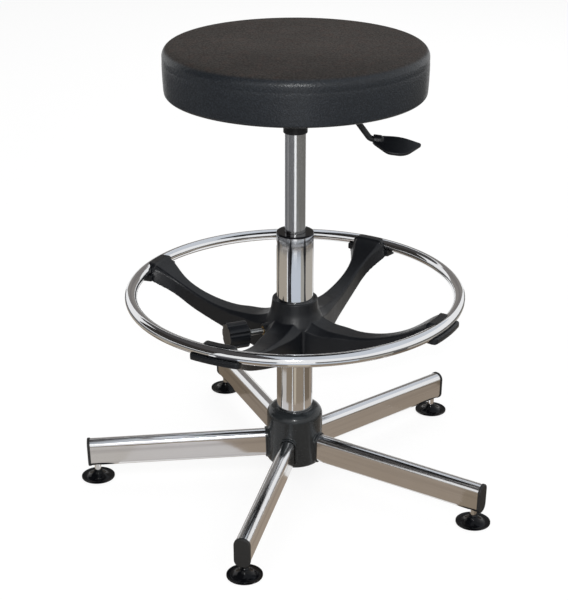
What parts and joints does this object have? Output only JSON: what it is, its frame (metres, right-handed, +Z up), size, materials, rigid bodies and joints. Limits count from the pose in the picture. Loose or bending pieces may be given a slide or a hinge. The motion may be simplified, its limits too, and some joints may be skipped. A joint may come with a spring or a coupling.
{
  "type": "stool with footrest",
  "caption": "Height-adjustable work stool: round dark foam seat on a gas spring, chrome column, foot ring on a clamped carrier, and a star base on glides.",
  "frame": {"origin": "on the floor, on the column's axis", "axes": "+Z up along the column; +X towards the release lever, to the right of a person in front of the stool; -Y towards that person"},
  "size_m": [0.5637, 0.575, 0.616],
  "materials": {
    "chrome": "polished",
    "satin_chrome": "satin",
    "steel": "satin",
    "brass": "satin",
    "plate_paint": "satin",
    "hub_plastic": "gloss",
    "glide_plastic": "gloss",
    "carrier_plastic": "satin",
    "cap_plastic": "matte",
    "clear_nylon": "satin",
    "buffer_rubber": "matte",
    "seat_foam": "matte",
    "board_wood": "matte"
  },
  "bodies": {
    "base": {"base_hub": "hub_plastic", "hub_core": "steel", "stem_bushes": "brass", "column_tube": "chrome", "column_bush": "hub_plastic", "bearing_plate": "steel", "lower_race": "steel", "arm_1": "chrome", "arm_2": "chrome", "arm_3": "chrome", "arm_4": "chrome", "arm_5": "chrome", "end_cap_1": "cap_plastic", "end_cap_2": "cap_plastic", "end_cap_3": "cap_plastic", "end_cap_4": "cap_plastic", "end_cap_5": "cap_plastic"},
    "rod": {"piston_rod": "chrome", "rod_clip": "steel", "upper_race": "steel", "rod_buffer": "buffer_rubber", "piston": "steel"},
    "bearing_cage": {"ball_cage": "brass", "thrust_balls": "chrome"},
    "seat": {"gas_cylinder": "satin_chrome", "cylinder_guide": "clear_nylon", "taper_socket": "plate_paint", "seat_plate": "plate_paint", "seat_board": "board_wood", "board_inserts": "steel", "seat_screws": "steel", "seat_washers": "steel", "seat_cushion": "seat_foam", "lever_bracket": "plate_paint", "lever_pivot_pin": "steel", "pin_clips": "steel"},
    "button": {"release_button": "steel"},
    "lever": {"lever_cam": "steel", "lever_rod": "plate_paint", "lever_paddle": "hub_plastic"},
    "liner": {"clamp_liner": "carrier_plastic"},
    "ring": {"ring_carrier": "carrier_plastic", "footring": "chrome", "ring_screws": "steel", "clamp_insert": "brass"},
    "pad": {"clamp_pad": "brass"},
    "knob": {"clamp_stud": "steel", "stud_nut": "plate_paint", "clamp_knob": "carrier_plastic"},
    "foot_1": {"glide_1": "glide_plastic", "glide_stem_1": "chrome"},
    "foot_2": {"glide_2": "glide_plastic", "glide_stem_2": "chrome"},
    "foot_3": {"glide_3": "glide_plastic", "glide_stem_3": "chrome"},
    "foot_4": {"glide_4": "glide_plastic", "glide_stem_4": "chrome"},
    "foot_5": {"glide_5": "glide_plastic", "glide_stem_5": "chrome"}
  },
  "joints": [
    {"name": "seat_swivel", "type": "hinge", "parent": "base", "child": "rod", "pos_m": [0, 0, 0.04], "axis": [0, 0, 1], "continuous": true},
    {"name": "bearing_turn", "type": "hinge", "parent": "base", "child": "bearing_cage", "pos_m": [0, 0, 0.04], "axis": [0, 0, 1], "continuous": true},
    {"name": "seat_height", "type": "slide", "parent": "rod", "child": "seat", "axis": [0, 0, 1], "range_m": [-0.115, 0.085]},
    {"name": "lever_lift", "type": "hinge", "parent": "seat", "child": "lever", "pos_m": [0.033, 0, 0.5405], "axis": [0, -1, 0], "range_deg": [0, 6.5], "stiffness_Nm_per_rad": 1.2},
    {"name": "button_press", "type": "slide", "parent": "seat", "child": "button", "axis": [0, 0, -1], "range_m": [0, 0.0037], "stiffness_N_per_m": 400},
    {"name": "footrest_height", "type": "slide", "parent": "base", "child": "liner", "axis": [0, 0, 1], "range_m": [-0.081, 0.085]},
    {"name": "footrest_swivel", "type": "hinge", "parent": "liner", "child": "ring", "pos_m": [0, 0, 0.224], "axis": [0, 0, 1], "continuous": true},
    {"name": "clamp_travel", "type": "slide", "parent": "ring", "child": "pad", "axis": [-0.9272, -0.3746, 0], "range_m": [0, 0.0013]},
    {"name": "clamp_turn", "type": "hinge", "parent": "pad", "child": "knob", "pos_m": [-0.04636, -0.01873, 0.224], "axis": [-0.9272, -0.3746, 0], "range_deg": [0, 360]},
    {"name": "foot_1_turn", "type": "hinge", "parent": "base", "child": "foot_1", "pos_m": [-0.06229, -0.27196, 0.03], "axis": [0, 0, 1], "continuous": true},
    {"name": "foot_2_turn", "type": "hinge", "parent": "base", "child": "foot_2", "pos_m": [0.2394, -0.14328, 0.03], "axis": [0, 0, 1], "continuous": true},
    {"name": "foot_3_turn", "type": "hinge", "parent": "base", "child": "foot_3", "pos_m": [0.21024, 0.18341, 0.03], "axis": [0, 0, 1], "continuous": true},
    {"name": "foot_4_turn", "type": "hinge", "parent": "base", "child": "foot_4", "pos_m": [-0.10946, 0.25663, 0.03], "axis": [0, 0, 1], "continuous": true},
    {"name": "foot_5_turn", "type": "hinge", "parent": "base", "child": "foot_5", "pos_m": [-0.2779, -0.0248, 0.03], "axis": [0, 0, 1], "continuous": true}
  ],
  "couplings": [
    {"joint": "bearing_turn", "follows": "seat_swivel", "ratio": 0.5},
    {"joint": "button_press", "follows": "lever_lift", "m_per_rad": 0.032},
    {"joint": "clamp_travel", "follows": "clamp_turn", "m_per_rad": 0.000199}
  ]
}
